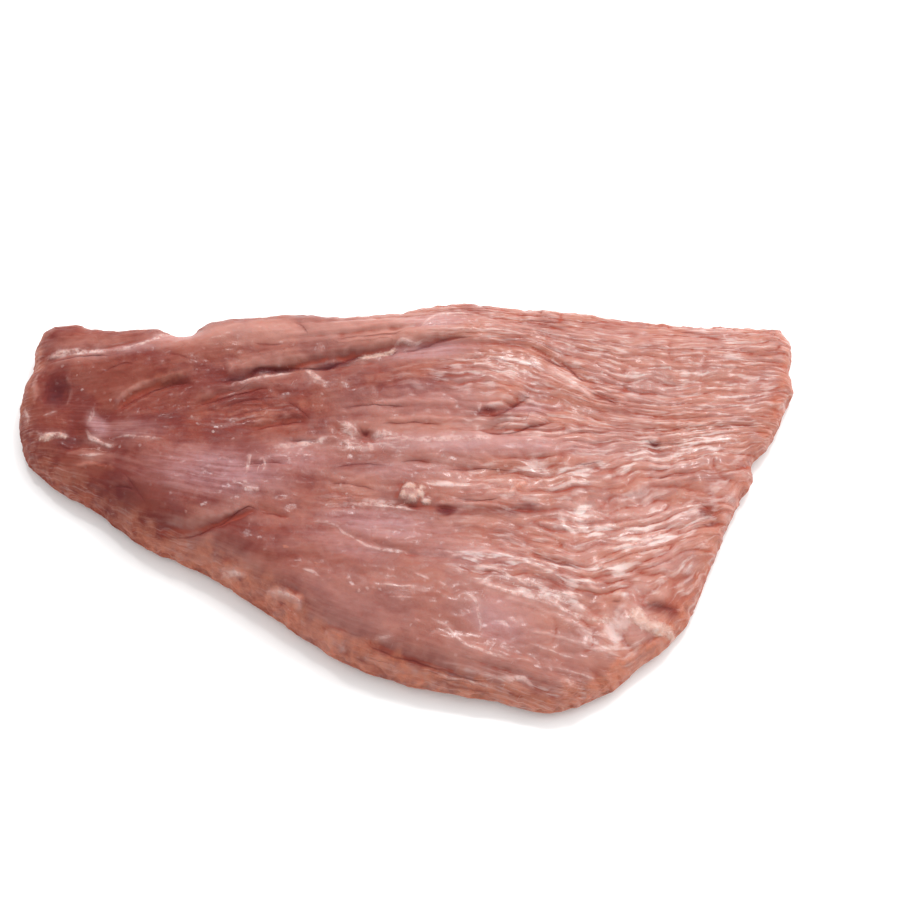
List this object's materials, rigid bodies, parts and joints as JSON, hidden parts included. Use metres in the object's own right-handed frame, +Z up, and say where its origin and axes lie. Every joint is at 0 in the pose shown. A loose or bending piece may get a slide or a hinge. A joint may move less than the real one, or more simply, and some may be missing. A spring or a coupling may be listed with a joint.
{
  "type": "pork skirt steak",
  "caption": "Raw pork skirt steak: a flat, coarse-grained, fan-shaped muscle with folds, a thick narrow end and a thin cut end.",
  "frame": {"origin": "centre of the footprint on the surface that the steak lies on", "axes": "+X along the length from the narrow end to the wide cut end, +Y towards the long straight edge, +Z up"},
  "size_m": [0.2, 0.1162, 0.018],
  "materials": {
    "raw_meat": "wet, uneven, with thin membrane and a little fat"
  },
  "bodies": {
    "root": {"steak": "raw_meat"}
  },
  "joints": []
}
